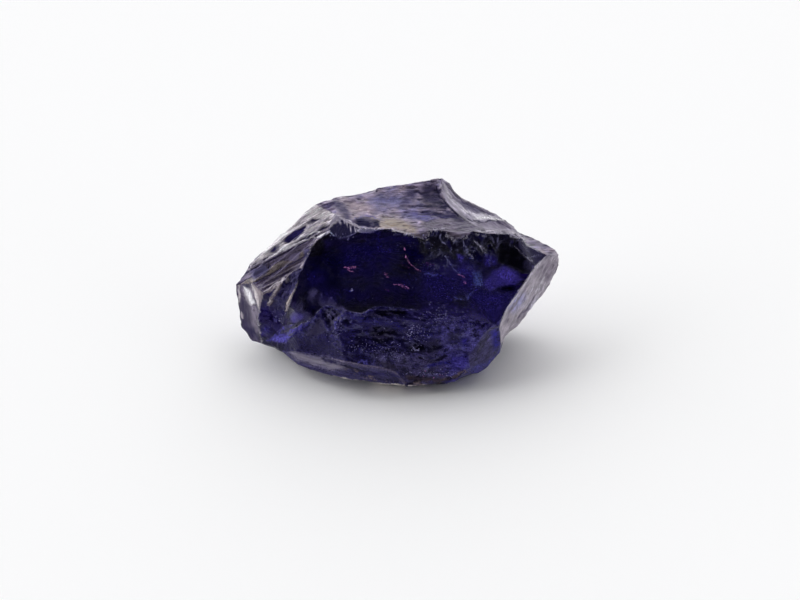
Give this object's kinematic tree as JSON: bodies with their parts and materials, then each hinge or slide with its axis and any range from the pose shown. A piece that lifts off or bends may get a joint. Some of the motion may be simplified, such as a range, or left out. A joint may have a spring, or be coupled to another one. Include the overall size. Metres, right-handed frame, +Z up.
{
  "type": "iolite gemstone",
  "caption": "Rough piece of violet-blue gem iolite, broken on every side into glassy, shell-like and stepped faces, with a flat underside that it rests on.",
  "frame": {"origin": "below the middle of the stone's box, on the surface that it rests on", "axes": "+X along the stone from its blunt left end to its pointed right end, +Y to its back, +Z up"},
  "size_m": [0.0304, 0.0168, 0.0137],
  "materials": {
    "iolite": "glassy broken gem crystal, deep violet blue and see-through, greyish lilac where the fracture faces catch the light"
  },
  "bodies": {
    "root": {"iolite": "iolite"}
  },
  "joints": []
}
